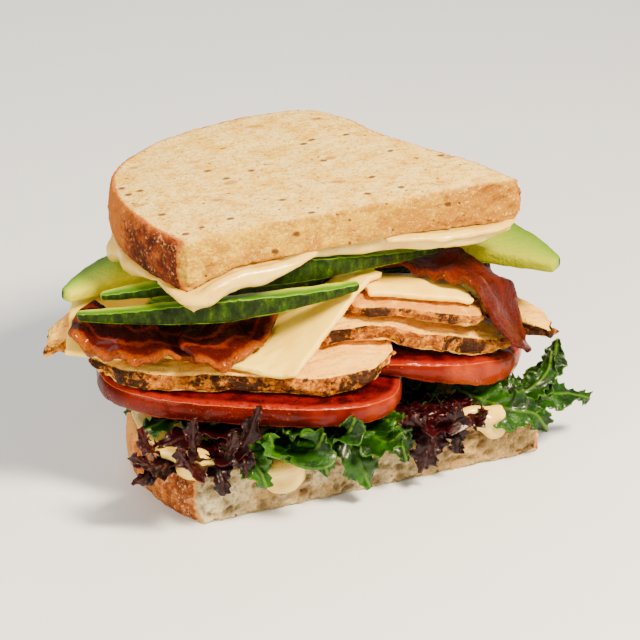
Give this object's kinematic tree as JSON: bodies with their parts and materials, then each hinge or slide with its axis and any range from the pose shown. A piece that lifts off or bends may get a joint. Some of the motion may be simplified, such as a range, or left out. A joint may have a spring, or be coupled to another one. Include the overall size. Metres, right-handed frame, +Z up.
{
  "type": "chicken avocado bacon sandwich half",
  "caption": "Cut half of a chicken, avocado, bacon, lettuce and tomato sandwich in thick country bread, resting on its flat lower slice.",
  "frame": {"origin": "middle of the bounding box's underside, on the board that the lower slice rests on", "axes": "+X along the cut face, +Y into the sandwich away from the cut, +Z up through the layers"},
  "size_m": [0.1724, 0.1076, 0.0959],
  "materials": {
    "bread": "pale open crumb with a toasted, mottled brown crust",
    "mayonnaise": "smooth, moist and softly glossy",
    "lettuce": "waxy green and dark red frilly leaves with pale ribs",
    "tomato": "wet cut flesh with glossy red skin round the rim",
    "chicken": "pale fibrous meat with browned and charred edges",
    "cheese": "smooth, slightly waxy pale slices",
    "bacon": "crisp, greasy red-brown lean with amber fat",
    "avocado": "buttery yellow-green flesh, dark green under the peel"
  },
  "bodies": {
    "root": {"bread_bottom": "bread", "mayo_bottom": "mayonnaise", "lettuce": "lettuce", "tomato_left": "tomato", "tomato_right": "tomato", "chicken_low": "chicken", "chicken_back": "chicken", "chicken_mid": "chicken", "chicken_right": "chicken", "chicken_top": "chicken", "cheese_left": "cheese", "cheese_right": "cheese", "cheese_front": "cheese", "bacon_left": "bacon", "bacon_middle": "bacon", "bacon_right": "bacon", "avocado_front": "avocado", "avocado_middle": "avocado", "avocado_right": "avocado", "avocado_left": "avocado", "mayo_top": "mayonnaise", "bread_top": "bread"}
  },
  "joints": []
}
